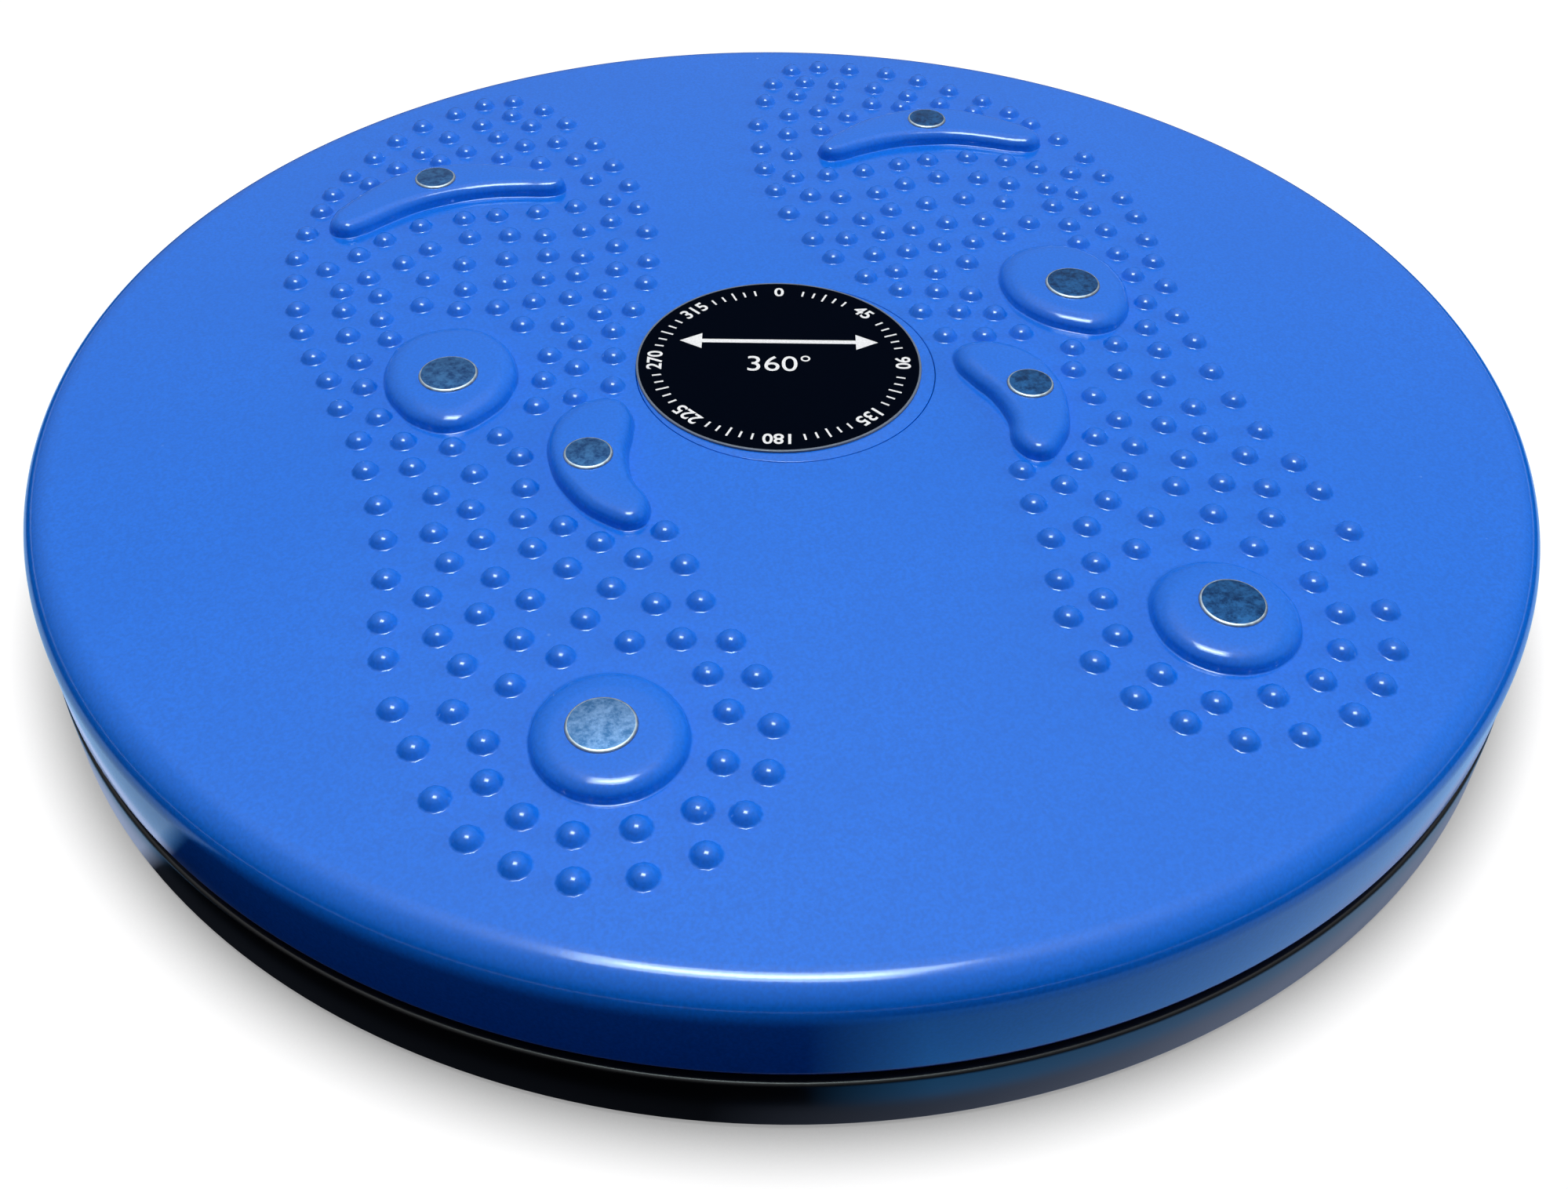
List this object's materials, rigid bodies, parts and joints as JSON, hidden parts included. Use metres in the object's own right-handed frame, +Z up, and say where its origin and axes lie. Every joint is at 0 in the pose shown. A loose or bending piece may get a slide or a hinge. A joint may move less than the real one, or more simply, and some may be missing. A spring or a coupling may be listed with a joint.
{
  "type": "waist twisting disc",
  "caption": "Round waist twisting disc to stand on: mirrored foot prints of small domes, raised pads with magnets, a printed centre dial, and a low base with a ball bearing.",
  "frame": {"origin": "on the floor under the spin axis, at the bottom centre of the object", "axes": "+Z up along the spin axis, +Y towards the toes of the foot prints, +X towards the right foot"},
  "size_m": [0.2536, 0.2536, 0.0314],
  "materials": {
    "blue_plastic": "satin",
    "black_plastic": "satin",
    "print": "printed",
    "magnet": "nickel plated",
    "steel": "bright",
    "ball_steel": "polished",
    "cage_plastic": "moulded",
    "bush_plastic": "moulded",
    "rubber": "matte"
  },
  "bodies": {
    "base": {"base_plate": "black_plastic", "lower_race": "steel", "pivot_bush": "bush_plastic", "rubber_foot_1": "rubber", "rubber_foot_2": "rubber", "rubber_foot_3": "rubber", "rubber_foot_4": "rubber", "rubber_foot_5": "rubber", "rubber_foot_6": "rubber"},
    "turntable": {"foot_plate": "blue_plastic", "hub_cap": "blue_plastic", "centre_label": "print", "upper_race": "steel", "pivot_bolt": "steel", "slip_washer": "bush_plastic", "steel_washer": "steel", "lock_nut": "steel", "heel_magnet_left": "magnet", "heel_magnet_right": "magnet", "arch_magnet_left": "magnet", "arch_magnet_right": "magnet", "ball_magnet_left": "magnet", "ball_magnet_right": "magnet", "toe_magnet_left": "magnet", "toe_magnet_right": "magnet"},
    "cage": {"ball_cage": "cage_plastic", "bearing_balls": "ball_steel"}
  },
  "joints": [
    {"name": "plate_spin", "type": "hinge", "parent": "base", "child": "turntable", "pos_m": [0, 0, 0], "axis": [0, 0, 1], "continuous": true},
    {"name": "cage_spin", "type": "hinge", "parent": "base", "child": "cage", "pos_m": [0, 0, 0], "axis": [0, 0, 1], "continuous": true}
  ],
  "couplings": [
    {"joint": "cage_spin", "follows": "plate_spin", "ratio": 0.5}
  ]
}
